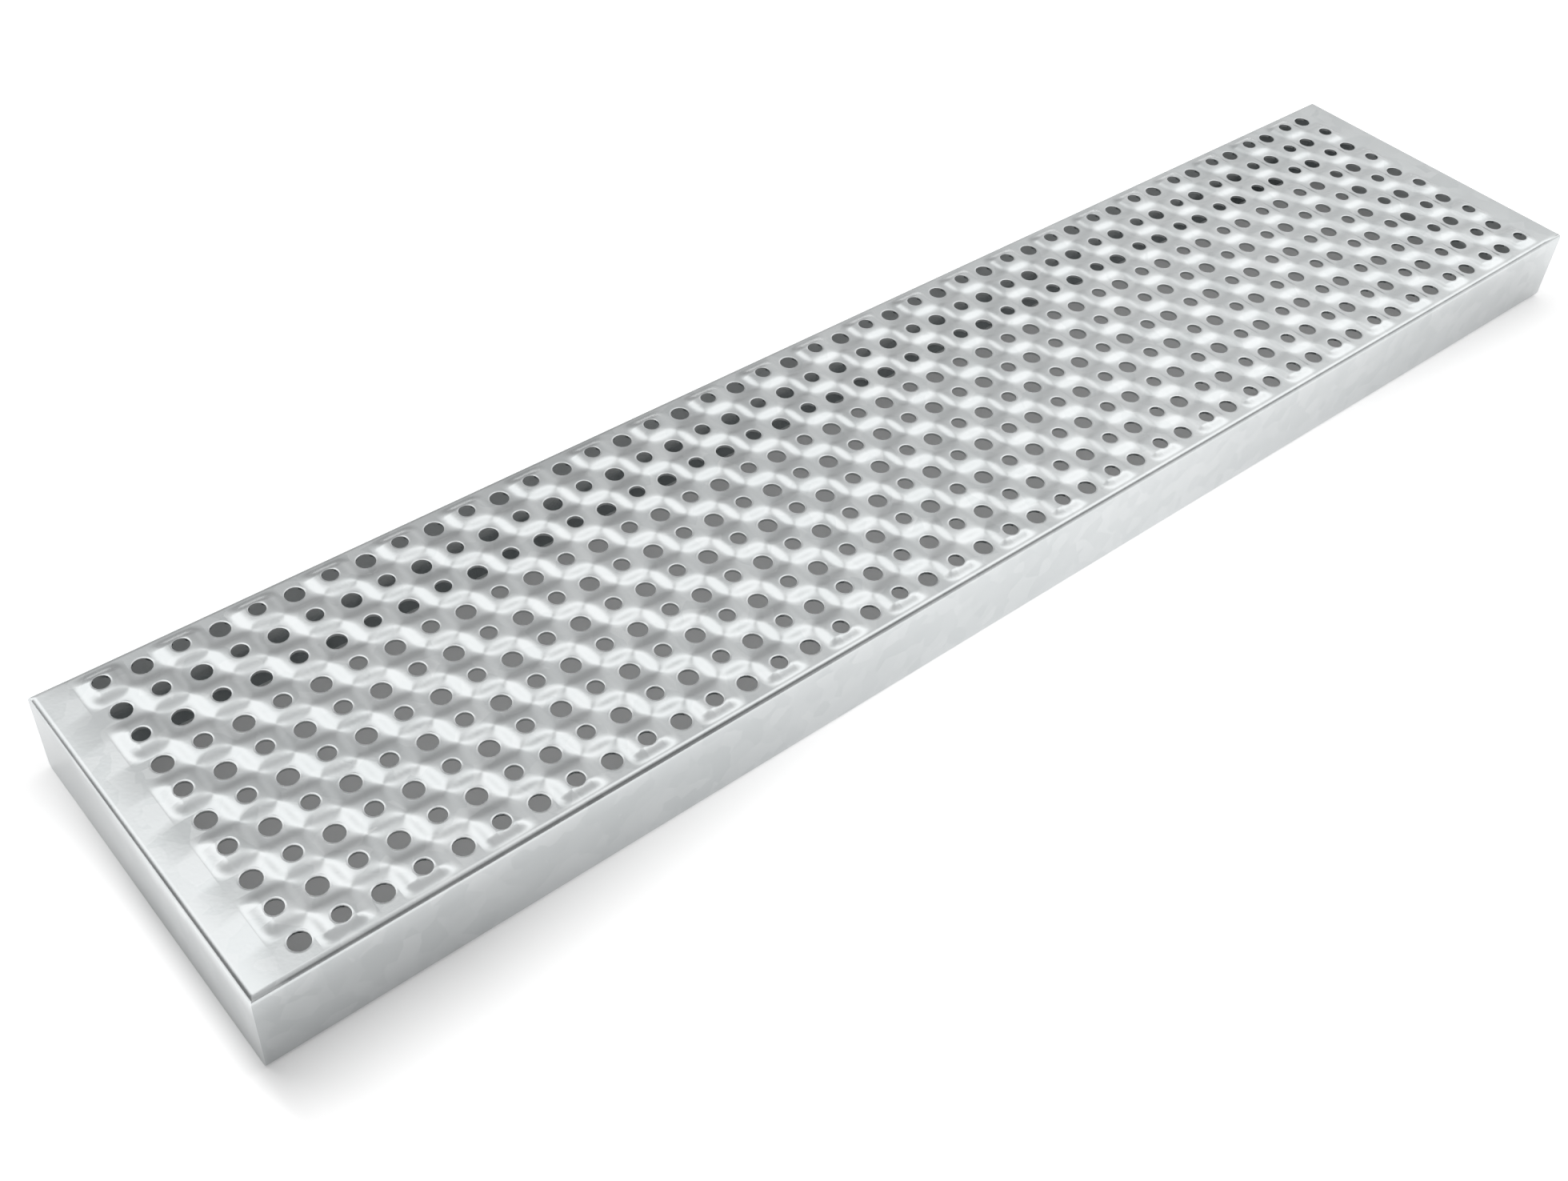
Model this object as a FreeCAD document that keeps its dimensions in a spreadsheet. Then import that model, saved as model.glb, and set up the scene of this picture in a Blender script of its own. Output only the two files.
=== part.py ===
import FreeCAD, Part
import Sketcher
import math
import os

# A stair tread pressed from one steel sheet. Its flat perforated top is folded down on all four sides, and
# the two long skirts end in inward return lips. Round drain holes lie in the plane of the top, and between
# them smaller round holes stand on raised buttons that give grip. X runs along the tread, Y across it and
# Z up. The origin is the middle of the rectangle that the tread stands on.

V = FreeCAD.Vector
NEARLY = 1e-6  # lengths closer than this are the same, mm

SIZES = {
    # the folded sheet, in millimetres
    "tread_length": 1200.0,
    "tread_depth": 260.0,
    "tread_height": 62.0,
    "sheet_thickness": 2.0,
    "inside_bend_radius": 2.0,
    "return_lip_width": 18.0,
    # the perforation, on one square grid
    "hole_pitch": 25.0,
    "least_end_margin": 30.0,
    "least_side_margin": 13.0,
    "drain_hole_diameter": 13.0,
    "button_hole_diameter": 11.0,
    "button_rise": 2.5,
    # flat strip between the pressed field and the folds, and flat seat round a button hole for a bolt
    "edge_land": 1.0,
    "bolt_seat_width": 1.0,
}

# Columns and rows of the button holes that take bolts, counted in from the left or right end and from the
# near side. The middle four are counted from the middle column.
END_BOLT_COLUMN_NUMBERS = (2, 4)
END_BOLT_ROW_NUMBERS = (1, 7)
MIDDLE_BOLT_COLUMN_NUMBERS = (-1, 1)
MIDDLE_BOLT_ROW_NUMBERS = (3, 5)

# A hole is drawn with six flats, and its corners lie where the flats enclose the round hole's area.
HOLE_SIDES = 6


def make_sheet(doc):
    """The sheet of driving dimensions, one named cell for each."""
    sheet = doc.addObject("Spreadsheet::Sheet", "sizes")
    for row, (name, value) in enumerate(SIZES.items(), start=1):
        sheet.set(f"A{row}", name)
        sheet.set(f"B{row}", str(value))
        sheet.setAlias(f"B{row}", name)
    doc.recompute()
    return sheet


def origin_plane(body, role):
    """One of the body's own origin planes."""
    return next(feature for feature in body.Origin.OriginFeatures if feature.Role == role)


def rectangle(body, name, size_x, size_y, middle_y="0"):
    """A sketch on the floor plane: one rectangle, centred on X = 0 and on Y = middle_y, with its sizes and
    place bound to the sheet."""
    sketch = body.newObject("Sketcher::SketchObject", name)
    sketch.AttachmentSupport = [(origin_plane(body, "XY_Plane"), "")]
    sketch.MapMode = "FlatFace"
    corners = [V(-1, -1, 0), V(1, -1, 0), V(1, 1, 0), V(-1, 1, 0)]
    for start, end in zip(corners, corners[1:] + corners[:1]):
        sketch.addGeometry(Part.LineSegment(start, end))
    for side in range(4):
        sketch.addConstraint(Sketcher.Constraint("Coincident", side, 2, (side + 1) % 4, 1))
    for side, direction in enumerate(("Horizontal", "Vertical") * 2):
        sketch.addConstraint(Sketcher.Constraint(direction, side))
    spans = {
        f"({size_x})": Sketcher.Constraint("DistanceX", 0, 1, 0, 2, 2.0),
        f"({size_y})": Sketcher.Constraint("DistanceY", 1, 1, 1, 2, 2.0),
        f"-({size_x}) / 2": Sketcher.Constraint("DistanceX", -1, 1, 0, 1, -1.0),
        f"({middle_y}) - ({size_y}) / 2": Sketcher.Constraint("DistanceY", -1, 1, 0, 1, -1.0),
    }
    for expression, constraint in spans.items():
        index = sketch.addConstraint(constraint)
        sketch.setExpression(f"Constraints[{index}]", expression)
    return sketch


def pad(body, name, sketch, height):
    feature = body.newObject("PartDesign::Pad", name)
    feature.Profile = sketch
    feature.setExpression("Length", height)
    return feature


def flat_faces(shape, direction, height=None):
    """Numbers of the shape's flat faces that look along +Z or -Z, counted from 1."""
    return [
        number
        for number, face in enumerate(shape.Faces, start=1)
        if face.Surface.TypeId == "Part::GeomPlane"
        and face.normalAt(0, 0).z * direction > 0.99
        and (height is None or abs(face.BoundBox.ZMax - height) < NEARLY)
    ]


def edges_along(shape, y, z):
    """Names of the shape's edges that run along X on the line at y and z, on both sides of the middle."""
    return [
        f"Edge{number}"
        for number, edge in enumerate(shape.Edges, start=1)
        if edge.BoundBox.XLength > NEARLY
        and max(edge.BoundBox.YLength, edge.BoundBox.ZLength) < NEARLY
        and abs(abs(edge.BoundBox.YMin) - y) < NEARLY
        and abs(edge.BoundBox.ZMin - z) < NEARLY
    ]


def fold(body, name, base, places, radius):
    """Rounds the named edges or faces of the feature before it."""
    feature = body.newObject("PartDesign::Fillet", name)
    feature.Base = (base, places)
    feature.setExpression("Radius", radius)
    return feature


def make_folded_blank(doc, sizes):
    """The sheet after folding, before its top is pressed: a block with its top edges rounded, hollowed from
    below to the sheet's thickness, with the two return lips added and their folds rounded."""
    body = doc.addObject("PartDesign::Body", "folded_blank")
    outline = rectangle(body, "blank_outline", "sizes.tread_length", "sizes.tread_depth")
    block = pad(body, "block", outline, "sizes.tread_height")
    doc.recompute()
    inside, outside = "sizes.inside_bend_radius", "sizes.inside_bend_radius + sizes.sheet_thickness"
    top_folds = fold(body, "top_folds", block, [f"Face{flat_faces(block.Shape, +1)[0]}"], outside)
    doc.recompute()
    hollow = body.newObject("PartDesign::Thickness", "hollow")
    hollow.Base = (top_folds, [f"Face{flat_faces(top_folds.Shape, -1)[0]}"])
    hollow.setExpression("Value", "sizes.sheet_thickness")
    hollow.Reversed = True
    doc.recompute()
    lip_length = "sizes.tread_length - sizes.sheet_thickness"
    lip_width = "sizes.return_lip_width - sizes.sheet_thickness / 2"
    lip_middle = "(sizes.tread_depth - sizes.return_lip_width - sizes.sheet_thickness / 2) / 2"
    for name, sign in (("near_lip", "-"), ("far_lip", "+")):
        lip_outline = rectangle(body, f"{name}_outline", lip_length, lip_width, f"{sign}{lip_middle}")
        lip = pad(body, name, lip_outline, "sizes.sheet_thickness")
        doc.recompute()
    half_depth, thickness = sizes.tread_depth / 2, sizes.sheet_thickness
    inner_edges = edges_along(lip.Shape, half_depth - thickness, thickness)
    inner_folds = fold(body, "inner_lip_folds", lip, inner_edges, inside)
    doc.recompute()
    fold(body, "outer_lip_folds", inner_folds, edges_along(inner_folds.Shape, half_depth, 0), outside)
    doc.recompute()
    return body


class Perforation:
    """The grid of holes and the pressed relief around them, worked out from the sheet of sizes. Every
    outline has six corners, listed anticlockwise: 0 and 1 end its right-hand flat, 2 is its far corner, 3 and
    4 end its left-hand flat and 5 is its near corner."""

    def __init__(self, sizes):
        self.pitch = sizes.hole_pitch
        self.columns = self.count(sizes.tread_length, sizes.least_end_margin)
        self.rows = self.count(sizes.tread_depth, sizes.least_side_margin)
        self.top = sizes.tread_height
        self.thickness = sizes.sheet_thickness
        self.rise = sizes.button_rise
        self.drain_corner = self.corner_radius(sizes.drain_hole_diameter / 2)
        self.drain_flat = self.drain_corner * math.cos(math.pi / HOLE_SIDES)
        self.half_flat = self.drain_corner * math.sin(math.pi / HOLE_SIDES)
        self.button_radius = sizes.button_hole_diameter / 2
        self.button_corner = self.corner_radius(self.button_radius)
        seat_radius = self.button_radius + sizes.bolt_seat_width
        self.seat_corner = seat_radius / math.cos(math.pi / HOLE_SIDES)
        fold = sizes.sheet_thickness + sizes.inside_bend_radius
        end_room = sizes.tread_length / 2 - fold - sizes.edge_land - self.place(self.columns - 1, 0).x
        side_room = sizes.tread_depth / 2 - fold - sizes.edge_land - self.place(0, self.rows - 1).y
        self.foot_along = self.pitch - self.drain_flat
        self.foot_across = self.pitch - self.drain_corner
        self.end_foot = min(self.foot_along, end_room)
        self.side_foot = min(self.foot_across, side_room)
        self.bolt_sites = self.pick_bolt_sites()

    def count(self, span, margin):
        return int((span - 2 * margin) / self.pitch) + 1

    @staticmethod
    def corner_radius(radius):
        turn = 2 * math.pi / HOLE_SIDES
        return radius * math.sqrt(turn / math.sin(turn))

    def place(self, column, row):
        x = (column - (self.columns - 1) / 2) * self.pitch
        y = (row - (self.rows - 1) / 2) * self.pitch
        return V(x, y, 0)

    @staticmethod
    def is_drain(column, row):
        return (column + row) % 2 == 0

    def sites(self):
        return [(column, row) for column in range(self.columns) for row in range(self.rows)]

    def pick_bolt_sites(self):
        """Four button holes near each end and four in the middle."""
        wanted = [(column, row) for column in END_BOLT_COLUMN_NUMBERS for row in END_BOLT_ROW_NUMBERS]
        wanted += [(self.columns - 1 - column, self.rows - 1 - row) for column, row in wanted]
        columns = [self.columns // 2 + column for column in MIDDLE_BOLT_COLUMN_NUMBERS]
        wanted += [(column, row) for column in columns for row in MIDDLE_BOLT_ROW_NUMBERS]
        return {(column + 1, row) if self.is_drain(column, row) else (column, row) for column, row in wanted}

    def outline(self, column, row):
        """Corners of a drain hole, or of the foot of a button's slopes, as offsets from its centre."""
        if self.is_drain(column, row):
            right = left = self.drain_flat
            far = near = self.drain_corner
        else:
            right = self.foot_along if column < self.columns - 1 else self.end_foot
            left = self.foot_along if column > 0 else self.end_foot
            far = self.foot_across if row < self.rows - 1 else self.side_foot
            near = self.foot_across if row > 0 else self.side_foot
        flat = self.half_flat
        offsets = [(right, -flat), (right, flat), (0, far), (-left, flat), (-left, -flat), (0, -near)]
        centre = self.place(column, row)
        return [centre + V(x, y, 0) for x, y in offsets]

    def field_edge(self):
        """The closed line, round the whole field, between the pressed field and the flat margin."""
        last_column, last_row = self.columns - 1, self.rows - 1
        walks = [
            ([(column, 0) for column in range(self.columns)], (4, 5, 0)),
            ([(last_column, row) for row in range(self.rows)], (5, 0, 1, 2)),
            ([(column, last_row) for column in reversed(range(self.columns))], (1, 2, 3)),
            ([(0, row) for row in reversed(range(self.rows))], (2, 3, 4, 5)),
        ]
        points = []
        for walk, corners in walks:
            for step, site in enumerate(walk):
                outline = self.outline(*site)
                for corner in corners[2:] if step == 0 else corners:
                    if not points or points[-1].distanceToPoint(outline[corner]) > NEARLY:
                        points.append(outline[corner])
        return points

    def ring(self, column, row):
        """Corners of a button's flat or hole at the top of its slopes."""
        radius = self.seat_corner if (column, row) in self.bolt_sites else self.button_corner
        turns = [(2 * corner - 1) * math.pi / HOLE_SIDES for corner in range(HOLE_SIDES)]
        return [self.place(column, row) + V(radius * math.cos(a), radius * math.sin(a), 0) for a in turns]


def polygon(points, height):
    raised = [point + V(0, 0, height) for point in points]
    return Part.Face(Part.makePolygon(raised + raised[:1]))


def face_with_hole(outer, inner):
    return Part.makeFace([outer, inner], "Part::FaceMakerCheese")


def slope(foot, top, foot_height, top_height):
    """The slopes of one button, from the corners of its foot to those of its top. The slopes that face along
    X are flat, and the other four are creased from the foot's far and near corners."""
    low = [point + V(0, 0, foot_height) for point in foot]
    high = [point + V(0, 0, top_height) for point in top]
    facets = [
        (low[0], low[1], high[1], high[0]),
        (low[1], low[2], high[1]),
        (low[2], high[2], high[1]),
        (low[2], low[3], high[3]),
        (low[2], high[3], high[2]),
        (low[3], low[4], high[4], high[3]),
        (low[4], low[5], high[4]),
        (low[5], high[5], high[4]),
        (low[5], low[0], high[0]),
        (low[5], high[0], high[5]),
    ]
    return [polygon(facet, 0) for facet in facets]


def walls(points, low, high):
    """Upright walls of a hole with flats."""
    faces = []
    for start, end in zip(points, points[1:] + points[:1]):
        corners = [start + V(0, 0, low), end + V(0, 0, low), end + V(0, 0, high), start + V(0, 0, high)]
        faces.append(polygon(corners, 0))
    return faces


def skin(holes, height, outer_wire):
    """One side of the perforated top: the slopes of all buttons, the flats between the drain holes and the
    flat margin that runs out to the folds."""
    faces = []
    for column, row in holes.sites():
        outline = holes.outline(column, row)
        if not holes.is_drain(column, row):
            faces += slope(outline, holes.ring(column, row), height, height + holes.rise)
        if column < holes.columns - 1 and row < holes.rows - 1:
            if holes.is_drain(column, row):
                across = holes.outline(column + 1, row + 1)
                corners = [outline[1], across[5], across[4], outline[2]]
            else:
                right = holes.outline(column + 1, row)
                far = holes.outline(column, row + 1)
                corners = [right[3], right[2], far[0], far[5]]
            faces.append(polygon(corners, height))
    edge = [point + V(0, 0, height) for point in holes.field_edge()]
    faces.append(face_with_hole(outer_wire, Part.makePolygon(edge + edge[:1])))
    return faces


def bolt_seat(holes, column, row, height):
    """The flat top of a button whose round hole takes a bolt."""
    centre = holes.place(column, row) + V(0, 0, height)
    circle = Part.Wire([Part.Circle(centre, V(0, 0, 1), holes.button_radius).toShape()])
    ring = [point + V(0, 0, height) for point in holes.ring(column, row)]
    return face_with_hole(Part.makePolygon(ring + ring[:1]), circle), circle


def make_tread_panel(doc, sizes, blank):
    """The finished sheet: the folded blank with its plain top redrawn as the pressed, perforated one."""
    holes = Perforation(sizes)
    shape = blank.Shape
    upper = flat_faces(shape, +1, holes.top)[0]
    under = flat_faces(shape, -1, holes.top - holes.thickness)[0]
    faces = [face for number, face in enumerate(shape.Faces, start=1) if number not in (upper, under)]
    for number, height in ((upper, holes.top), (under, holes.top - holes.thickness)):
        faces += skin(holes, height, shape.Faces[number - 1].OuterWire)
    for column, row in holes.sites():
        level = holes.top if holes.is_drain(column, row) else holes.top + holes.rise
        if (column, row) in holes.bolt_sites:
            upper_seat, upper_circle = bolt_seat(holes, column, row, level)
            under_seat, _ = bolt_seat(holes, column, row, level - holes.thickness)
            faces += [upper_seat, under_seat]
            faces += upper_circle.extrude(V(0, 0, -holes.thickness)).Faces
        elif holes.is_drain(column, row):
            faces += walls(holes.outline(column, row), level - holes.thickness, level)
        else:
            faces += walls(holes.ring(column, row), level - holes.thickness, level)
    shell = Part.makeShell(faces)
    shell.sewShape()
    panel = doc.addObject("Part::Feature", "tread_panel")
    panel.Label = "tread_panel"
    panel.Shape = Part.makeSolid(shell)
    panel.Placement = FreeCAD.Placement()
    return panel


def check(doc, sub_parts):
    """Stops if any object failed to compute, or a sub-part isn't one sound solid."""
    for item in doc.Objects:
        if "Invalid" in item.State or "Error" in item.State:
            raise RuntimeError(f"{item.Name} failed: {item.State}")
    for part in sub_parts:
        if part.Shape.isNull() or not part.Shape.isValid() or len(part.Shape.Solids) != 1:
            raise RuntimeError(f"{part.Label} is not one valid solid")
        print(part.Label, "volume", round(part.Shape.Volume), "mm3, faces", len(part.Shape.Faces))


doc = FreeCAD.newDocument("stair_tread")
sizes = make_sheet(doc)
blank = make_folded_blank(doc, sizes)
panel = make_tread_panel(doc, sizes, blank)
doc.recompute()
check(doc, [panel])
os.makedirs("parts", exist_ok=True)
panel.Shape.exportStep(f"parts/{panel.Label}.step")
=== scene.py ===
# %% [markdown]
# # A perforated stair tread
# This part is one galvanised steel sheet: punched with two sizes of hole, pressed so that the smaller holes stand
# on raised buttons, and folded down on all four sides. The CAD model holds its true sizes with plain six-sided
# holes. Here the same sheet is drawn again with round holes, smooth pressing and a zinc finish, inside the same
# box. All lengths are in metres, in the CAD frame: X along the tread, Y across it and Z up from the floor.

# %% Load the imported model
import bmesh
import bpy
import math
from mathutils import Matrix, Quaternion, Vector, noise


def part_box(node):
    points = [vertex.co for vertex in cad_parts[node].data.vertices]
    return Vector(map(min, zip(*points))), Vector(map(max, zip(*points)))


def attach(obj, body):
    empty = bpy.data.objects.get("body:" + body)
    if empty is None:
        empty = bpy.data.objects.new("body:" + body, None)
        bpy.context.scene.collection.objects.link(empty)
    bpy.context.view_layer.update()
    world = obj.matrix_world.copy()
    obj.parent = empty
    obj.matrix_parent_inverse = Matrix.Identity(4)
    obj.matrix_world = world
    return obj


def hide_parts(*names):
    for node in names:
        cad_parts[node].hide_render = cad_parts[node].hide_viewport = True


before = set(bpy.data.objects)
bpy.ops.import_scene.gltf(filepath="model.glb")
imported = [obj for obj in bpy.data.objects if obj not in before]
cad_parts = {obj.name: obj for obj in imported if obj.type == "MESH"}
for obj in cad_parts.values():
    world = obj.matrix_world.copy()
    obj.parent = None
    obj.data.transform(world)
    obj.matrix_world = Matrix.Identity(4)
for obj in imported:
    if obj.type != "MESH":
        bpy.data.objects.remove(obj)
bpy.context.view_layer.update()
low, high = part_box("tread_panel")
MM = 0.001
print("CAD box", [round(v / MM, 1) for v in low], [round(v / MM, 1) for v in high], "mm")

# %% [markdown]
# ## Sizes
# The outside of the tread comes from the frame. The rest is what the sheet was made with: its thickness, its fold
# radius, the square grid that its holes lie on, and how far the buttons rise. The flat top lies one rise below the
# highest point.

# %% Sizes of the sheet
HALF_LENGTH = (high.x - low.x) / 2
HALF_DEPTH = (high.y - low.y) / 2
RISE = 2.5 * MM
TOP = high.z - RISE
THICKNESS = 2 * MM
INSIDE_BEND = 2 * MM
FOLD = THICKNESS + INSIDE_BEND
LIP_WIDTH = 18 * MM

PITCH = 25 * MM
COLUMNS, ROWS = 46, 10
DRAIN_RADIUS = 6.5 * MM
BUTTON_RADIUS = 5.5 * MM
LAST_X = (COLUMNS - 1) / 2 * PITCH
LAST_Y = (ROWS - 1) / 2 * PITCH
print("holes", COLUMNS * ROWS, "margins", round((HALF_LENGTH - LAST_X) / MM, 1), round((HALF_DEPTH - LAST_Y) / MM, 1))

# %% [markdown]
# ## Writing node trees as sums
# Geometry Nodes and shaders both compute with Math nodes. Placing them one by one hides the formula, so a Wire
# wraps a socket, and + - * / between wires adds the Math node. Every other node comes from Tree.add, which takes
# the node's type, its settings and the values or wires of its sockets.


# %% Wires
class Wire:
    """One output socket in a tree. Arithmetic on it adds Math nodes."""

    def __init__(self, tree, socket):
        self.tree = tree
        self.socket = socket

    def math(self, operation, *values):
        sockets = dict(enumerate((self,) + values))
        return self.tree.add("ShaderNodeMath", {"operation": operation}, sockets)

    def __add__(self, other):
        return self.math("ADD", other)

    def __sub__(self, other):
        return self.math("SUBTRACT", other)

    def __mul__(self, other):
        return self.math("MULTIPLY", other)

    def __truediv__(self, other):
        return self.math("DIVIDE", other)

    def __rsub__(self, other):
        return (self * -1) + other

    def __abs__(self):
        return self.math("ABSOLUTE")

    __radd__ = __add__
    __rmul__ = __mul__


print("wires add, subtract, multiply and divide")


# %% Trees
class Tree:
    """A node tree whose nodes are added with their settings, values and wires in one call."""

    def __init__(self, tree):
        self.tree = tree

    def add(self, kind, settings=None, sockets=None, output=0):
        node = self.tree.nodes.new(kind)
        for name, value in (settings or {}).items():
            if name == "stops":
                self.set_stops(node.color_ramp, value)
            else:
                setattr(node, name, value)
        for key, value in (sockets or {}).items():
            for item in value if isinstance(value, list) else [value]:
                if isinstance(item, Wire):
                    self.tree.links.new(item.socket, node.inputs[key])
                else:
                    node.inputs[key].default_value = item
        return Wire(self, node.outputs[output]) if node.outputs else node

    @staticmethod
    def set_stops(ramp, stops):
        """Stops are (place, grey) or (place, colour)."""
        while len(ramp.elements) < len(stops):
            ramp.elements.new(1.0)
        for element, (place, colour) in zip(ramp.elements, stops):
            element.position = place
            element.color = (*colour, 1) if isinstance(colour, tuple) else (colour, colour, colour, 1)

    def outputs(self, wire):
        """All outputs of the node that a wire comes from."""
        return [Wire(self, socket) for socket in wire.socket.node.outputs]

    def parts(self, vector):
        """The x, y and z of a vector."""
        return self.outputs(self.add("ShaderNodeSeparateXYZ", None, {0: vector}))

    def join(self, x=0.0, y=0.0, z=0.0):
        return self.add("ShaderNodeCombineXYZ", None, {"X": x, "Y": y, "Z": z})

    def mapped(self, value, span, result=(0.0, 1.0), kind="LINEAR"):
        """The value, where span becomes result and what lies outside is held at its ends."""
        ends = {"From Min": span[0], "From Max": span[1], "To Min": result[0], "To Max": result[1]}
        return self.add("ShaderNodeMapRange", {"interpolation_type": kind}, {"Value": value, **ends})

    def curve(self, value, points):
        """A level that runs in straight lines between points of (value, level)."""
        first, last = points[0][0], points[-1][0]
        stops = [((place - first) / (last - first), level) for place, level in points]
        ramp = self.add("ShaderNodeValToRGB", {"stops": stops}, {"Fac": self.mapped(value, (first, last))})
        return self.parts(ramp)[0]


print("trees add nodes, settings first")

# %% [markdown]
# ## Pressing
# The tool that presses such a sheet leaves no corners: the sheet swings from one hole to the next. A product of two
# cosines is low at the drain holes and high at the buttons. The tool is flatter than a cosine, so each wave is first
# squared off a little, which sets the walls along the lines midway between the holes. Round each hole the product is
# held level as a seat. Past the outer rows the waves are held as they are there, and the lift runs out to the flat
# margin. The formula is written once, for use in both kinds of tree: the mesh is shaped by it, and the zinc takes
# from it the exact slope between the mesh's points.

# %% The formula of the pressing
WALL_SOFTNESS = 0.6
RIM_WIDTH = 1.3 * MM
RIM_DROP = 0.2 * MM
SEAT_WIDTH = 0.6 * RIM_WIDTH
RUN_OUT = 4.0 * MM
PRESSING = {"Pitch": PITCH, "Rise": RISE, "Last X": LAST_X, "Last Y": LAST_Y}
PRESSING.update({"End reach": 15.0 * MM, "Side reach": 13.0 * MM})


def square_off(wave):
    """Flattens the crests of a wave that runs between -1 and 1."""
    return wave / (wave * wave + WALL_SOFTNESS**2).math("SQRT") * math.hypot(1, WALL_SOFTNESS)


def seat_level(radius):
    """The squared-off wave at the edge of a hole's seat, as a plain number."""
    wave = math.cos(math.pi * (radius + SEAT_WIDTH) / PITCH)
    return wave / math.hypot(wave, WALL_SOFTNESS) * math.hypot(1, WALL_SOFTNESS)


def pressed_height(t, x, y, size):
    """How far the pressing lifts the sheet at x, y. The sizes are numbers, or wires from a tree's inputs."""
    swell = -1
    for value, last in ((x, size["Last X"]), (y, size["Last Y"])):
        held = value.math("MINIMUM", last).math("MAXIMUM", last * -1)
        swell = square_off(((held + last) / size["Pitch"] * math.pi).math("COSINE")) * swell
    levels = (-seat_level(DRAIN_RADIUS), seat_level(BUTTON_RADIUS))
    height = t.mapped(swell, levels, (0.0, size["Rise"]))
    for value, last, reach in ((x, size["Last X"], size["End reach"]), (y, size["Last Y"], size["Side reach"])):
        height = height * t.mapped(abs(value) - last, (RUN_OUT, reach), (1.0, 0.0), "SMOOTHSTEP")
    return height


print("seats at", round(-seat_level(DRAIN_RADIUS), 3), "and", round(seat_level(BUTTON_RADIUS), 3), "of the wave")


# %% The rims of the holes
def rim_dip(t, x, y):
    """How far punching drew the sheet down at x, y, at the rim of the nearest hole."""
    columns, rows = (x + LAST_X) / PITCH, (y + LAST_Y) / PITCH
    column, row = columns.math("ROUND"), rows.math("ROUND")
    off_x, off_y = (columns - column) * PITCH, (rows - row) * PITCH
    from_middle = (off_x * off_x + off_y * off_y).math("SQRT")
    is_button = (column + row).math("MODULO", 2.0)
    from_rim = from_middle - DRAIN_RADIUS + is_button * (DRAIN_RADIUS - BUTTON_RADIUS)
    dip = t.mapped(from_rim, (0.0, RIM_WIDTH), (1.0, 0.0))
    return dip * dip * RIM_DROP


print("rims", round(RIM_WIDTH / MM, 1), "mm wide dip by", round(RIM_DROP / MM, 1), "mm")

# %% [markdown]
# ## Zinc
# Hot-dip galvanising leaves a bright zinc skin of crystals, the spangle, each a slightly different grey. A metal
# shader with Voronoi cells gives the crystals, and noise gives the cloudy film and the fine grain that keeps a
# dipped sheet from being a mirror. Everything reads Object coordinates, so the pattern stays on the part. On the
# pressed field a first Bump starts from a level sheet and takes its slopes from the pressing's formula, because
# zinc mirrors its surroundings and would show the mesh's facets.

# %% Slopes of the pressed field
FACING_UP = 0.6


def on_field(x, y, z, facing):
    """1 on the upper side of the pressed field, 0 elsewhere."""
    inside = z.math("GREATER_THAN", TOP - 2 * RIM_DROP) * facing.math("GREATER_THAN", FACING_UP)
    for value, last, reach in ((x, LAST_X, PRESSING["End reach"]), (y, LAST_Y, PRESSING["Side reach"])):
        inside = inside * abs(value).math("LESS_THAN", last + reach)
    return inside


def field_slope(t, x, y, z):
    """The normal of the pressed field, and the mesh's own normal elsewhere."""
    facing = t.parts(t.add("ShaderNodeTexCoord", output=1))[2]
    spaces = {"vector_type": "NORMAL", "convert_from": "OBJECT", "convert_to": "WORLD"}
    level = t.add("ShaderNodeVectorTransform", spaces, {0: (0, 0, 1)})
    mesh_normal = t.add("ShaderNodeNewGeometry", output=1)
    ends = {0: on_field(x, y, z, facing), 4: mesh_normal, 5: level}
    start = t.add("ShaderNodeMix", {"data_type": "VECTOR"}, ends, output=1)
    height = (pressed_height(t, x, y, PRESSING) - rim_dip(t, x, y)) * ends[0]
    return t.add("ShaderNodeBump", None, {"Strength": 1.0, "Distance": 1.0, "Height": height, "Normal": start})


print("the field's slopes are worked out in the zinc")


# %% The zinc finish
ZINC_DULL = (0.52, 0.545, 0.55)
ZINC_BRIGHT = (0.69, 0.705, 0.71)
CRYSTAL_SCALE, CLOUD_SCALE, GRAIN_SCALE = 85.0, 9.0, 420.0
CRYSTAL_SHARE, CLOUD_SHARE = 0.10, 0.22
BEND_SCALE, BEND_REACH = 60.0, 6 * MM
ROUGH_LEAST, ROUGH_CRYSTAL, ROUGH_CLOUD = 0.17, 0.04, 0.08
GRAIN_STRENGTH, GRAIN_DEPTH, CRYSTAL_STEP = 0.06, 0.4 * MM, 0.6


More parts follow.
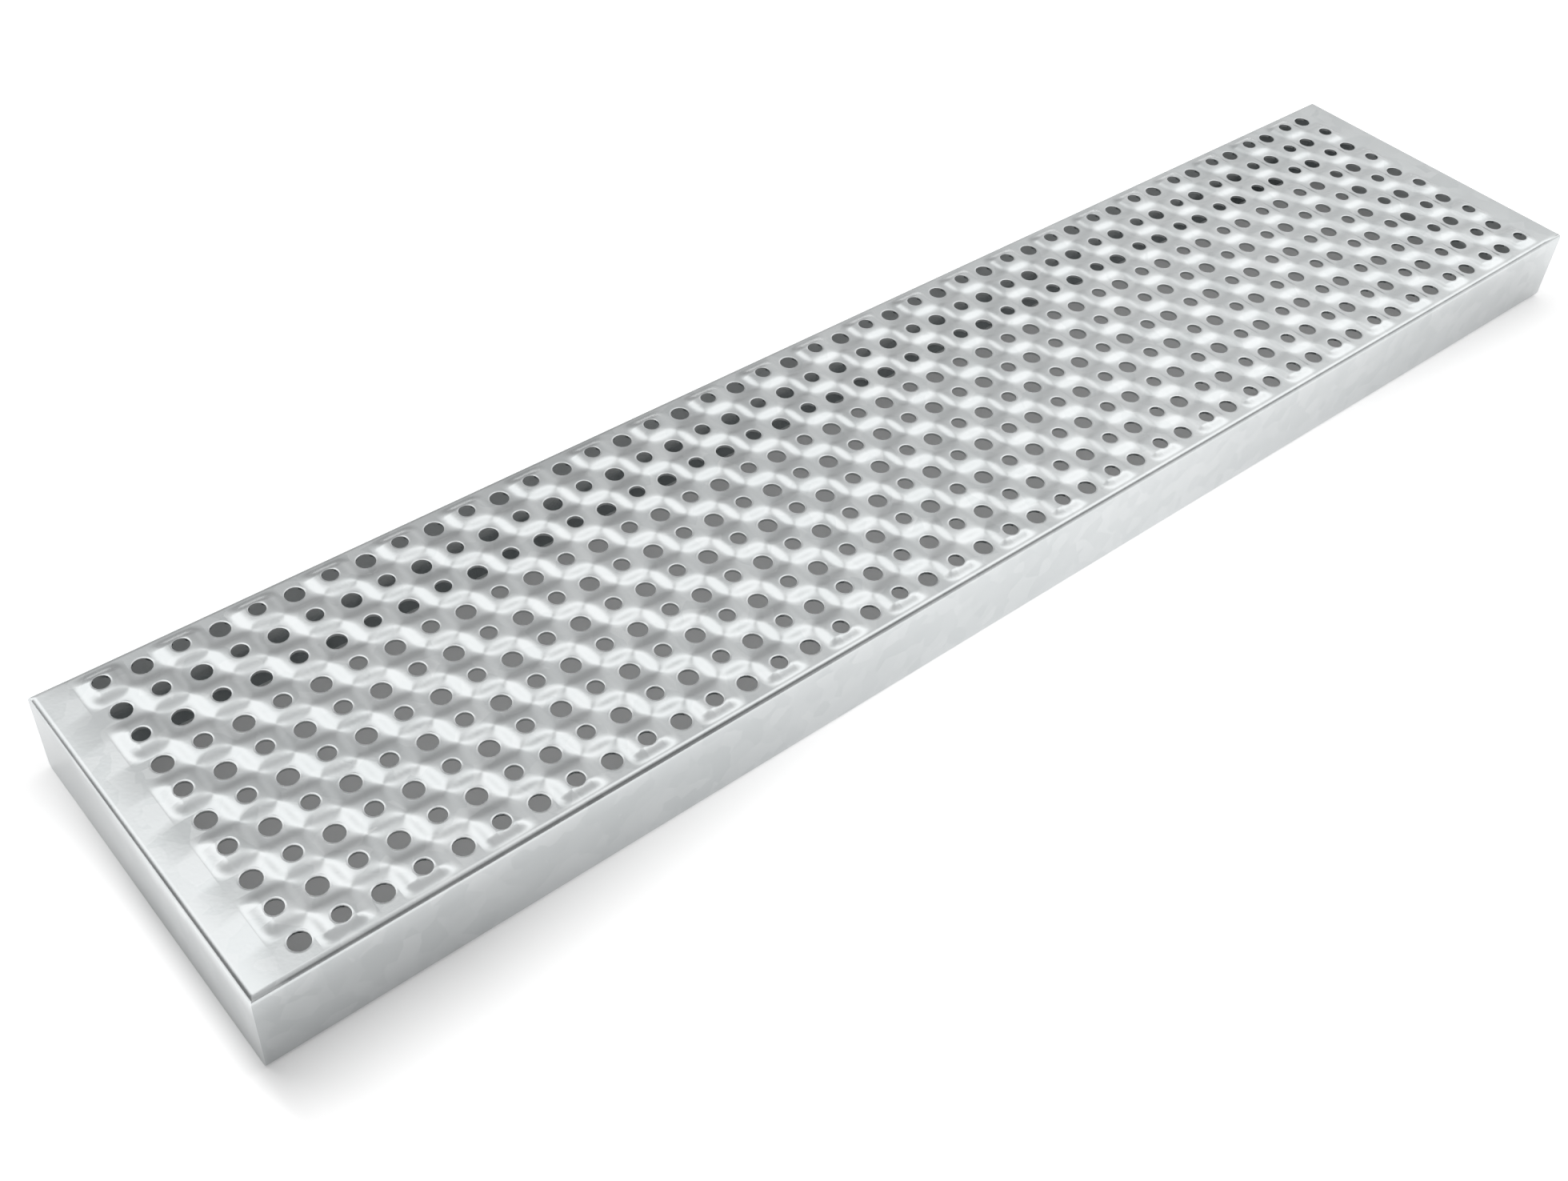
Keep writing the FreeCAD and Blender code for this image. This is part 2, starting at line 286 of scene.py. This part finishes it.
def make_zinc(name):
    material = bpy.data.materials.new(name)
    material.use_nodes = True
    material.node_tree.nodes.clear()
    t = Tree(material.node_tree)
    place = t.add("ShaderNodeTexCoord", output=3)
    bend = t.add("ShaderNodeTexNoise", None, {"Vector": place, "Scale": BEND_SCALE, "Detail": 2.0}, output=1)
    ends = {0: bend, 1: (BEND_REACH,) * 3, 2: place}
    warped = t.add("ShaderNodeVectorMath", {"operation": "MULTIPLY_ADD"}, ends)
    crystal = t.add("ShaderNodeTexVoronoi", None, {"Vector": warped, "Scale": CRYSTAL_SCALE}, output=1)
    tone = t.parts(crystal)[0]
    film = {"Vector": place, "Scale": CLOUD_SCALE, "Detail": 3.0, "Roughness": 0.55}
    cloud = t.add("ShaderNodeTexNoise", None, film)
    grain = t.add("ShaderNodeTexNoise", None, {"Vector": place, "Scale": GRAIN_SCALE, "Detail": 2.0})
    bright = tone * CRYSTAL_SHARE + cloud * CLOUD_SHARE
    stops = [(0.0, ZINC_DULL), (CRYSTAL_SHARE + CLOUD_SHARE, ZINC_BRIGHT)]
    colour = t.add("ShaderNodeValToRGB", {"stops": stops}, {"Fac": bright})
    rough = ROUGH_LEAST + tone * ROUGH_CRYSTAL + cloud * ROUGH_CLOUD
    slope = field_slope(t, *t.parts(place))
    relief = {"Strength": GRAIN_STRENGTH, "Distance": GRAIN_DEPTH}
    relief.update({"Height": grain + tone * CRYSTAL_STEP, "Normal": slope})
    bump = t.add("ShaderNodeBump", None, relief)
    look = {"Base Color": colour, "Metallic": 1.0, "Roughness": rough, "Normal": bump}
    t.add("ShaderNodeOutputMaterial", None, {"Surface": t.add("ShaderNodeBsdfPrincipled", None, look)})
    return material


zinc = make_zinc("galvanised_zinc")
print("material", zinc.name, len(zinc.node_tree.nodes), "nodes")

# %% [markdown]
# ## One cell of the perforation
# The grid has 460 holes, so the work is done once. A cell is a square of sheet, one pitch wide, with a round hole:
# four rings of faces that run from the hole's circle to the square. Punching draws the very edge of a hole down,
# so the innermost ring is a narrow rolled rim. There is one cell for the drain holes and one for the button holes.
# Their square edges carry the same points, so neighbours can be welded.

# %% Drain cell and button cell
SIDE_POINTS = 4
RING_SHARES = (0.0, 0.3, 0.65, 1.0)


def cell_points():
    """Directions from the hole's middle, paired with the points of the square that they run to."""
    corners = [Vector((x, y)) * PITCH / 2 for x, y in ((1, 1), (-1, 1), (-1, -1), (1, -1))]
    points = []
    for side, corner in enumerate(corners):
        for step in range(SIDE_POINTS):
            share = step / SIDE_POINTS
            turn = math.pi / 2 * (side + share + 0.5)
            square = corner.lerp(corners[(side + 1) % 4], share)
            points.append((Vector((math.cos(turn), math.sin(turn))), square))
    return points


def make_cell(name, radius):
    bm = bmesh.new()
    seat = radius + RIM_WIDTH
    points = cell_points()
    rings = [[bm.verts.new((*(out * radius), -RIM_DROP)) for out, _ in points]]
    for share in RING_SHARES:
        rings.append([bm.verts.new((*(out * seat).lerp(square, share), 0)) for out, square in points])
    for inner, outer in zip(rings, rings[1:]):
        for step in range(len(points)):
            bm.faces.new((inner[step - 1], outer[step - 1], outer[step], inner[step]))
    mesh = bpy.data.meshes.new(name)
    bm.to_mesh(mesh)
    bm.free()
    cell = bpy.data.objects.new(name, mesh)
    bpy.context.scene.collection.objects.link(cell)
    return cell


drain_cell = make_cell("drain_cell", DRAIN_RADIUS)
button_cell = make_cell("button_cell", BUTTON_RADIUS)
print("faces in a cell", len(drain_cell.data.polygons))

# %% [markdown]
# ## The pressed field
# A Geometry Nodes tree sets the two cells on the grid like the squares of a chessboard, welds them, and then
# presses the sheet. Its sizes are named inputs, so the same tree would lay another tread.

# %% Inputs of the tree
KNEE = 8.2 * MM
WELD = 0.02 * MM

FIELD_INPUTS = {
    "Columns": ("NodeSocketInt", COLUMNS),
    "Rows": ("NodeSocketInt", ROWS),
    "Pitch": ("NodeSocketFloat", PITCH),
    "Rise": ("NodeSocketFloat", RISE),
    "Top": ("NodeSocketFloat", TOP),
    "Knee": ("NodeSocketFloat", KNEE),
    "End reach": ("NodeSocketFloat", PRESSING["End reach"]),
    "Side reach": ("NodeSocketFloat", PRESSING["Side reach"]),
    "Drain cell": ("NodeSocketObject", drain_cell),
    "Button cell": ("NodeSocketObject", button_cell),
    "Finish": ("NodeSocketMaterial", zinc),
}
print("tree inputs", list(FIELD_INPUTS))


# %% Setting the cells on the grid
def position(t):
    return t.parts(t.add("GeometryNodeInputPosition"))


def set_cells(t, size):
    """Drain cells and button cells on alternate places of the grid, welded to one sheet."""
    spans = {"Size X": size["Last X"] * 2, "Size Y": size["Last Y"] * 2}
    counts = {"Vertices X": size["Columns"], "Vertices Y": size["Rows"]}
    sites = t.add("GeometryNodeMeshGrid", None, {**spans, **counts})
    x, y, _ = position(t)
    count = ((x + size["Last X"]) / size["Pitch"] + (y + size["Last Y"]) / size["Pitch"]).math("ROUND")
    is_button = count.math("MODULO", 2.0)
    cells = []
    for name, chosen in (("Drain cell", 1 - is_button), ("Button cell", is_button)):
        shape = t.add("GeometryNodeObjectInfo", None, {"Object": size[name], "As Instance": True}, output=4)
        placed = {"Points": sites, "Selection": chosen, "Instance": shape}
        cells.append(t.add("GeometryNodeInstanceOnPoints", None, placed))
    joined = t.add("GeometryNodeJoinGeometry", None, {0: cells})
    sheet = t.add("GeometryNodeRealizeInstances", None, {0: joined})
    return t.add("GeometryNodeMergeByDistance", None, {"Geometry": sheet, "Distance": WELD})


print("cells are set on", COLUMNS, "by", ROWS, "places")


# %% Pulling the outer cells to the flat margin
def pulled(value, last_line, knee, reach, pitch):
    """Keeps the holes round, and moves only what lies beyond the knee."""
    start = last_line + knee
    stretch = (reach - knee) / (pitch / 2 - knee)
    out = abs(value).math("MINIMUM", start) + (abs(value) - start).math("MAXIMUM", 0.0) * stretch
    return out * value.math("SIGN")


def pull_edge(t, size, sheet):
    x, y, z = position(t)
    new_x = pulled(x, size["Last X"], size["Knee"], size["End reach"], size["Pitch"])
    new_y = pulled(y, size["Last Y"], size["Knee"], size["Side reach"], size["Pitch"])
    place = t.join(new_x, new_y, z + size["Top"])
    return t.add("GeometryNodeSetPosition", None, {"Geometry": sheet, "Position": place})


reaches = [round(PRESSING[name] / MM, 1) for name in ("End reach", "Side reach")]
print("the pressed field ends", reaches, "mm past its outer holes")


# %% Pressing the sheet
def press(t, size, sheet):
    x, y, _ = position(t)
    lift = t.join(z=pressed_height(t, x, y, size))
    return t.add("GeometryNodeSetPosition", None, {"Geometry": sheet, "Offset": lift})


print("buttons rise", round(RISE / MM, 1), "mm")


# %% Running the tree
def make_field_tree():
    tree = bpy.data.node_groups.new("pressed_field", "GeometryNodeTree")
    tree.interface.new_socket("Geometry", in_out="OUTPUT", socket_type="NodeSocketGeometry")
    for name, (kind, _) in FIELD_INPUTS.items():
        tree.interface.new_socket(name, in_out="INPUT", socket_type=kind)
    t = Tree(tree)
    given = t.add("NodeGroupInput")
    size = dict(zip(FIELD_INPUTS, t.outputs(given)))
    for name, count in (("Last X", "Columns"), ("Last Y", "Rows")):
        size[name] = (size[count] - 1) / 2 * size["Pitch"]
    sheet = press(t, size, pull_edge(t, size, set_cells(t, size)))
    finished = t.add("GeometryNodeSetMaterial", None, {"Geometry": sheet, "Material": size["Finish"]})
    t.add("NodeGroupOutput", None, {"Geometry": finished})
    return tree


def lay_field():
    """Runs the tree on an empty object and returns the result as a plain mesh."""
    carrier = bpy.data.objects.new("field_carrier", bpy.data.meshes.new("field_carrier"))
    bpy.context.scene.collection.objects.link(carrier)
    modifier = carrier.modifiers.new("pressed_field", "NODES")
    modifier.node_group = make_field_tree()
    for item in modifier.node_group.interface.items_tree:
        if item.in_out == "INPUT":
            modifier[item.identifier] = FIELD_INPUTS[item.name][1]
    graph = bpy.context.evaluated_depsgraph_get()
    mesh = bpy.data.meshes.new_from_object(carrier.evaluated_get(graph))
    for helper in (carrier, drain_cell, button_cell):
        bpy.data.objects.remove(helper)
    return mesh


field = lay_field()
print("field", len(field.vertices), "points", len(field.polygons), "faces")

# %% [markdown]
# ## Folds and skirts
# Round the field the sheet runs flat to the fold, turns down in a tight bend, and stands as a skirt on the floor.
# The long skirts roll under again at the floor, and the end skirts stop there. In mesh code these are rings of
# points: each ring has a point for every point on the field's edge, so the faces between two rings follow at once.

# %% The field's edge
CLOSE = 0.01 * MM


def edge_points(bm):
    """The field's outer edge as four rows of points: near, right, far and left, anticlockwise from above."""
    rim = [v for v in bm.verts if v.is_boundary]
    reach_x = max(v.co.x for v in rim)
    reach_y = max(v.co.y for v in rim)
    near = sorted((v for v in rim if v.co.y < CLOSE - reach_y), key=lambda v: v.co.x)
    right = sorted((v for v in rim if v.co.x > reach_x - CLOSE), key=lambda v: v.co.y)
    far = sorted((v for v in rim if v.co.y > reach_y - CLOSE), key=lambda v: -v.co.x)
    left = sorted((v for v in rim if v.co.x < CLOSE - reach_x), key=lambda v: -v.co.y)
    return [near, right, far, left]


def stitch(bm, upper, lower):
    """Faces between two rows of points. A point that is used twice gives a triangle."""
    for i in range(len(upper) - 1):
        bm.faces.new(list(dict.fromkeys((upper[i], lower[i], lower[i + 1], upper[i + 1]))))


print("the edge is read as four rows")

# %% [markdown]
# ### Skirts that aren't quite flat
# A folded sheet is never quite flat between its bends, and zinc shows it: a reflection wanders along the skirt. So
# the rings between the folds lean in by up to a few tenths of a millimetre, as smooth noise says.

# %% Rings round the field
SKIRT_WAVE = 0.35 * MM
WAVE_SCALE, WAVE_PLACE = 5.0, 3.7


def lean(x, y, z):
    """How far a skirt leans in at a point, none at its folds."""
    between = (z - FOLD) / (TOP - 2 * FOLD)
    bow = 4 * max(0.0, between * (1 - between))
    wave = noise.noise(Vector((x * WAVE_SCALE, y * WAVE_SCALE, WAVE_PLACE)))
    return SKIRT_WAVE * bow * (0.5 + 0.5 * wave)


def make_ring(bm, edge, inset_x, inset_y, z):
    """A ring at some distance in from the ends and sides: four rows, each from corner to corner."""
    half_x, half_y = HALF_LENGTH - inset_x, HALF_DEPTH - inset_y
    places = [(-half_x, -half_y), (half_x, -half_y), (half_x, half_y), (-half_x, half_y)]
    corners = [bm.verts.new((*place, z)) for place in places]
    rows = []
    for side, (out_x, out_y) in enumerate(((0, -1), (1, 0), (0, 1), (-1, 0))):
        row = [corners[side]]
        for vert in edge[side]:
            x = out_x * half_x if out_x else vert.co.x
            y = out_y * half_y if out_y else vert.co.y
            inward = lean(x, y, z)
            row.append(bm.verts.new((x - out_x * inward, y - out_y * inward, z)))
        rows.append(row + [corners[(side + 1) % 4]])
    return rows


print("skirts lean by up to", round(SKIRT_WAVE / MM, 2), "mm")

# %% Top folds, skirts and lower folds
FOLD_STEPS = 5
SKIRT_ROWS = 4


def fold_profile():
    """Insets from the ends and the sides, and heights, from the top's edge down to the floor."""
    turns = [math.pi / 2 * step / FOLD_STEPS for step in range(FOLD_STEPS + 1)]
    drop = TOP - 2 * FOLD
    top_fold = [(FOLD * (1 - math.sin(a)),) * 2 + (TOP - FOLD * (1 - math.cos(a)),) for a in turns]
    skirt = [(0.0, 0.0, TOP - FOLD - drop * row / SKIRT_ROWS) for row in range(1, SKIRT_ROWS + 1)]
    lower_fold = [(0.0, FOLD * (1 - math.cos(a)), FOLD * (1 - math.sin(a))) for a in turns[1:]]
    return top_fold + skirt + lower_fold


def add_skirts(bm, edge):
    """Faces from the field's edge down to the floor. Returns the rows of the last ring."""
    neighbours = zip(edge[-1:] + edge, edge, edge[1:] + edge)
    above = [[before[-1]] + row + [after[0]] for before, row, after in neighbours]
    for inset_x, inset_y, z in fold_profile():
        below = make_ring(bm, edge, inset_x, inset_y, z)
        for upper, lower in zip(above, below):
            stitch(bm, upper, lower)
        above = below
    return above


print("rings", len(fold_profile()))

# %% [markdown]
# ## Return lips
# Under the tread each long skirt ends in a flat lip that turns in along the floor. It stiffens the sheet and gives
# clips something to hold. Its ends are welded to the end skirts, so its rows start and stop on the bottom points of
# those skirts, and one of these points is moved to where the lip's free edge comes.


# %% Lips along the floor
def add_lip(bm, row, start_end, stop_end):
    """A lip from a long row, between the bottom points of the two end skirts, listed from the row inwards."""
    lip_edge = math.copysign(HALF_DEPTH - LIP_WIDTH, row[0].co.y)
    closest = min(range(len(start_end)), key=lambda i: abs(start_end[i].co.y - lip_edge))
    above = row
    for start, stop in list(zip(start_end, stop_end))[1 : closest + 1]:
        if start is start_end[closest]:
            start.co.y = stop.co.y = lip_edge
        below = [start] + [bm.verts.new((v.co.x, start.co.y, 0)) for v in row[1:-1]] + [stop]
        stitch(bm, above, below)
        above = below


def add_lips(bm, rows):
    near, right, far, left = rows
    add_lip(bm, near, left[::-1], right)
    add_lip(bm, far, right[::-1], left)


print("lips", round(LIP_WIDTH / MM, 1), "mm wide")

# %% [markdown]
# ## Thickness
# So far the sheet is a skin with no thickness. Solidify gives it the 2 mm of the real sheet on the inside, closes
# the rims of all holes and lips, and keeps the thickness even round the folds. Faces that meet at a sharp angle are
# then marked sharp, and everything else is shaded smooth.


# %% Put the skin together
def make_skin(name):
    bm = bmesh.new()
    bm.from_mesh(field)
    edge = edge_points(bm)
    add_lips(bm, add_skirts(bm, edge))
    bmesh.ops.remove_doubles(bm, verts=bm.verts, dist=CLOSE)
    bmesh.ops.recalc_face_normals(bm, faces=bm.faces)
    if sum(face.normal.z for face in bm.faces) < 0:
        bmesh.ops.reverse_faces(bm, faces=bm.faces)
    skin = bpy.data.meshes.new(name)
    bm.to_mesh(skin)
    bm.free()
    return skin


skin = make_skin("skin")
print("skin", len(skin.polygons), "faces")


# %% Give it thickness
SHARP_ANGLE = math.radians(40)


def make_sheet(name):
    carrier = bpy.data.objects.new("skin", skin)
    bpy.context.scene.collection.objects.link(carrier)
    solidify = carrier.modifiers.new("thickness", "SOLIDIFY")
    solidify.thickness = THICKNESS
    solidify.offset = -1
    solidify.use_even_offset = True
    solidify.use_rim = True
    graph = bpy.context.evaluated_depsgraph_get()
    mesh = bpy.data.meshes.new_from_object(carrier.evaluated_get(graph))
    bpy.data.objects.remove(carrier)
    mesh.name = name
    mesh.materials.clear()
    mesh.materials.append(zinc)
    mesh.polygons.foreach_set("use_smooth", [True] * len(mesh.polygons))
    mesh.set_sharp_from_angle(angle=SHARP_ANGLE)
    sheet = bpy.data.objects.new(name, mesh)
    bpy.context.scene.collection.objects.link(sheet)
    return sheet


tread = make_sheet("pressed_tread")
tread.data.calc_loop_triangles()
print("tread", len(tread.data.loop_triangles), "triangles")

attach(tread, "root")
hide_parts("tread_panel")

# %% [markdown]
# ## Floor
# The tread lies on a white floor. The floor is a plain matt sheet that takes the shadow. Some brightness of its
# own, for the camera and for mirror-like reflections only, lifts it to paper white. Close to the tread this lift
# is uneven painted light: it sets how bright the skirts look, as a painted reflection, because they mirror the
# floor in front of them. It is high beyond the left end, least at the near left corner, grows along the near skirt
# and falls again at the right. It has one level behind the tread and another from 100 mm away. The camera sees a
# little more of it than the zinc does. Under the tread there is almost none, so the holes look into the dark.

# %% White floor
FLOOR_SIZE = 14.0
FLOOR_DROP = 0.2 * MM
FLOOR_WHITE = 0.86
# Uneven painted light on the floor beside the tread, by place along X; the skirts mirror it as a painted reflection.
PAINTED_LIGHT_ALONG_X = [(-0.63, 1.00), (-0.60, 0.00), (-0.48, 0.06), (-0.1, 0.61), (0.10, 0.66), (0.60, 0.22)]
LIFT_TO_CAMERA = 0.10
LIFT_BEHIND = 0.25
LIFT_FAR = 0.68
LIFT_WIDTH = 0.10
LIFT_UNDER = 0.07


def make_floor_finish():
    material = bpy.data.materials.new("white_floor")
    material.use_nodes = True
    material.node_tree.nodes.clear()
    t = Tree(material.node_tree)
    x, y, _ = t.parts(t.add("ShaderNodeTexCoord", output=3))
    away = (abs(x) - HALF_LENGTH).math("MAXIMUM", abs(y) - HALF_DEPTH)
    ray = {wire.socket.name: wire for wire in t.outputs(t.add("ShaderNodeLightPath"))}
    mirrored = ray["Is Glossy Ray"].math("MAXIMUM", ray["Is Transmission Ray"])
    to_camera = ray["Is Camera Ray"]
    # Painted light beside the tread: floor glow that changes with place, which the skirts show as a painted
    # reflection.
    beside = t.curve(x, PAINTED_LIGHT_ALONG_X)
    beside = beside + (LIFT_BEHIND - beside) * t.mapped(y, (0.0, HALF_DEPTH))
    lift = beside + (LIFT_FAR - beside) * t.mapped(away, (0.0, LIFT_WIDTH))
    outside = away.math("GREATER_THAN", -THICKNESS)
    lift = LIFT_UNDER + (lift - LIFT_UNDER) * outside
    seen = mirrored * lift + to_camera * (lift + outside * LIFT_TO_CAMERA)
    paint = t.add("ShaderNodeBsdfDiffuse", None, {"Color": (FLOOR_WHITE, FLOOR_WHITE, FLOOR_WHITE, 1)})
    glow = t.add("ShaderNodeEmission", None, {"Color": (1, 1, 1, 1), "Strength": seen})
    t.add("ShaderNodeOutputMaterial", None, {"Surface": t.add("ShaderNodeAddShader", None, {0: paint, 1: glow})})
    return material


def make_floor():
    half = FLOOR_SIZE / 2
    mesh = bpy.data.meshes.new("floor")
    mesh.from_pydata([(-half, -half, 0), (half, -half, 0), (half, half, 0), (-half, half, 0)], [], [(0, 1, 2, 3)])
    mesh.materials.append(make_floor_finish())
    floor = bpy.data.objects.new("floor", mesh)
    bpy.context.scene.collection.objects.link(floor)
    floor.location.z = -FLOOR_DROP
    return floor


make_floor()
print("floor", FLOOR_SIZE, "m")

# %% [markdown]
# ## Light
# Zinc shows what it reflects, so the light is a photographer's tent: even all round, with a long bright strip across
# the roof that has a gap towards the front, a softer glow beside each of its ends, dark cards at the left and in
# front, and a reflector on the right. Slopes that face up to the strip shine as white ribbons, and the folds catch
# the cards as a dark line. The world gives the tent, direction by direction.

# %% The tent's wall, strip and glows
FALLING = (1.0, 0.0)
TENT_NEAR, TENT_FAR, TENT_SPAN = 0.70, 0.46, (0.36, 0.60)
STRIP = [(-0.38, 0.0), (-0.26, 0.35), (-0.16, 0.88), (0.05, 0.88), (0.13, 0.3), (0.2, 0.0)]
STRIP_TURN, STRIP_MIDDLE = 0.75, 0.53
STRIP_FADE, STRIP_FADE_SPAN = 0.62, (0.42, 0.72)
STRIP_GAP = [(0.02, 0.0), (0.12, 0.85), (0.25, 0.85), (0.35, 0.0)]
STRIP_GAP_DEPTH = (0.36, 0.47)
LEFT_GLOW = [(0.03, 0.0), (0.12, 0.48), (0.20, 0.10), (0.29, 0.16), (0.37, 0.0)]
LEFT_GLOW_SPAN = (0.19, 0.25)
RIGHT_GLOW = [(0.05, 0.0), (0.13, 0.34), (0.22, 0.26), (0.33, 0.0)]
RIGHT_GLOW_SPAN, RIGHT_GLOW_DEPTH = (0.22, 0.38), (0.46, 0.52)


def tent_light(t, x, y):
    """The level of the wall, the strip and the glows, mostly by how far a direction lies across the strip."""
    across = y + x * STRIP_TURN - STRIP_MIDDLE
    wall = t.mapped(across, TENT_SPAN, (TENT_NEAR, TENT_FAR))
    strip = t.curve(across, STRIP) * t.mapped(x, STRIP_FADE_SPAN, (1.0, STRIP_FADE))
    strip = strip * (1 - t.curve(x, STRIP_GAP) * t.mapped(y, STRIP_GAP_DEPTH, FALLING))
    left = t.curve(across, LEFT_GLOW) * t.mapped(x, LEFT_GLOW_SPAN, FALLING)
    right = t.mapped(y, RIGHT_GLOW_DEPTH, FALLING) * t.mapped(x, RIGHT_GLOW_SPAN)
    right = t.curve(across, RIGHT_GLOW) * right
    return wall + strip + (left + right)


print("the strip adds up to", max(level for _, level in STRIP), "to a wall of", TENT_NEAR)

# %% The tent's dark cards
LEFT_CARD = [(-0.9, 0.0), (-0.65, 0.7), (-0.1, 0.7), (0.2, 0.0)]
LEFT_CARD_SPAN, LEFT_CARD_HEIGHT = (0.40, 0.60), (0.72, 0.94)
FRONT_CARD = [(-0.75, 0.0), (-0.62, 0.6), (-0.33, 0.6), (-0.22, 0.0)]
FRONT_CARD_SPAN, FRONT_CARD_HEIGHT = (0.25, 0.45), (0.28, 0.40)


def card_shades(t, x, y, z):
    """The shares of the light that the card at the left and the card in front take away."""
    left = t.curve(x + y, LEFT_CARD) * t.mapped(z, LEFT_CARD_HEIGHT, FALLING)
    left = left * t.mapped(x, LEFT_CARD_SPAN, FALLING)
    front = t.curve(y, FRONT_CARD) * t.mapped(x, FRONT_CARD_SPAN) * t.mapped(z, FRONT_CARD_HEIGHT)
    return left, front


print("the cards take up to", [max(level for _, level in card) for card in (LEFT_CARD, FRONT_CARD)])

# %% The light tent
REFLECTOR, REFLECTOR_SPAN = 0.33, (0.45, 0.70)


def make_tent():
    world = bpy.data.worlds.new("light_tent")
    world.use_nodes = True
    world.node_tree.nodes.clear()
    t = Tree(world.node_tree)
    x, y, z = t.parts(t.add("ShaderNodeTexCoord", output=0))
    left, front = card_shades(t, x, y, z)
    reflector = t.mapped(x, REFLECTOR_SPAN, (0.0, REFLECTOR))
    level = (tent_light(t, x, y) * (1 - left) + reflector) * (1 - front)
    tent = t.add("ShaderNodeBackground", None, {"Color": (1, 1, 1, 1), "Strength": level})
    white = t.add("ShaderNodeBackground", None, {"Color": (1, 1, 1, 1), "Strength": 1.0})
    to_camera = t.add("ShaderNodeLightPath")
    both = t.add("ShaderNodeMixShader", None, {0: to_camera, 1: tent, 2: white})
    t.add("ShaderNodeOutputWorld", None, {"Surface": both})
    bpy.context.scene.world = world


make_tent()
print("world", bpy.context.scene.world.name)

# %% [markdown]
# ## Camera
# The camera stands left of the near end, looks down along the tread and is rolled by a few degrees. Its place and
# focal length were found by matching the tread's corners and holes, so they are plain measured values here.

# %% Camera at the photo's angle
CAMERA_PLACE = Vector((-0.7623, -0.6571, 0.8601))
CAMERA_TARGET = Vector((-0.1934, -0.0653, 0.0620))
CAMERA_ROLL = math.radians(5.003)
CAMERA_FOCAL = 41.703
CAMERA_SENSOR = 36.0

camera = bpy.data.cameras.new("camera")
camera.lens = CAMERA_FOCAL
camera.sensor_width = CAMERA_SENSOR
tripod = bpy.data.objects.new("camera", camera)
bpy.context.scene.collection.objects.link(tripod)
tripod.location = CAMERA_PLACE
tripod.rotation_mode = "QUATERNION"
aim = (CAMERA_TARGET - CAMERA_PLACE).to_track_quat("-Z", "Y")
tripod.rotation_quaternion = aim @ Quaternion((0, 0, 1), CAMERA_ROLL)
bpy.context.scene.camera = tripod
bpy.context.scene.view_settings.view_transform = "Standard"
print("camera", [round(v, 3) for v in tripod.location], "lens", camera.lens)
